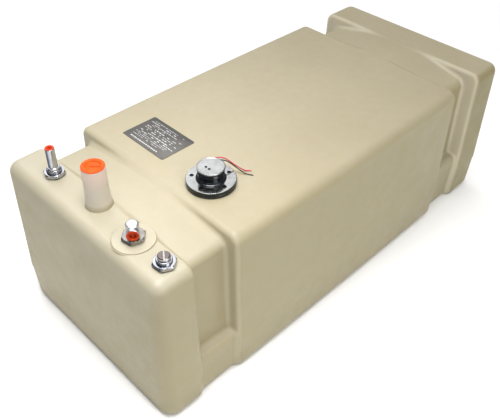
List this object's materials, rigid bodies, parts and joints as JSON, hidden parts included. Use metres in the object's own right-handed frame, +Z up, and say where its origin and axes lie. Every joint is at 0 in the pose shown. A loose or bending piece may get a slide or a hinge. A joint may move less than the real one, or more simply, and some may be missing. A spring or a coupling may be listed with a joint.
{
  "type": "fresh water tank",
  "caption": "Rectangular moulded plastic liquid tank with strap recesses, filler neck, vent, pickup elbow, spare threaded fitting and float level sender.",
  "frame": {"origin": "centre of the tank's flat base", "axes": "+X along the length, away from the end with the fittings; +Z up; -Y is the long side nearest the level sender"},
  "size_m": [0.968, 0.439, 0.4036],
  "materials": {
    "poly": "satin rotomoulded polyethylene",
    "orange": "soft moulded polyethylene",
    "brass": "machined",
    "rubber": "moulded",
    "nickel": "bright nickel plate",
    "silver": "bright cast and machined",
    "steel": "turned",
    "black": "glossy moulded",
    "capmetal": "satin",
    "darksteel": "blackened",
    "floatfoam": "closed foam",
    "red": "wire insulation",
    "blackwire": "wire insulation",
    "plate": "etched"
  },
  "bodies": {
    "tank": {"tank_body": "poly", "vent_insert": "brass", "vent_seal": "rubber", "vent_hex_base": "nickel", "vent_tube": "nickel", "pickup_insert": "brass", "pickup_elbow": "silver", "pickup_hex_base": "steel", "pickup_dip_tube": "silver", "pickup_strainer": "steel", "spare_insert": "brass", "spare_seal": "rubber", "spare_bushing": "steel", "spare_plug": "steel", "sender_gasket": "rubber", "sender_flange": "black", "sender_face_plate": "capmetal", "sender_hub": "black", "sender_cap": "capmetal", "sender_cap_screws": "darksteel", "sender_screws": "darksteel", "sender_backing_ring": "brass", "sender_stem": "silver", "float_clips": "steel", "red_wire": "red", "black_wire": "blackwire", "data_plate": "plate"},
    "fill_plug_body": {"fill_plug": "orange"},
    "vent_cap_body": {"vent_cap": "orange"},
    "port_plug_body": {"pickup_port_plug": "orange"},
    "float_body": {"sender_float": "floatfoam"}
  },
  "joints": [
    {"name": "fill_plug_pull", "type": "slide", "parent": "tank", "child": "fill_plug_body", "axis": [0, 0, 1], "range_m": [0, 0.06]},
    {"name": "vent_cap_pull", "type": "slide", "parent": "tank", "child": "vent_cap_body", "axis": [0, 0, 1], "range_m": [0, 0.035]},
    {"name": "port_plug_pull", "type": "slide", "parent": "tank", "child": "port_plug_body", "axis": [-0.5878, -0.809, 0], "range_m": [0, 0.03]},
    {"name": "float_rise", "type": "slide", "parent": "tank", "child": "float_body", "axis": [0, 0, 1], "range_m": [0, 0.21]}
  ]
}
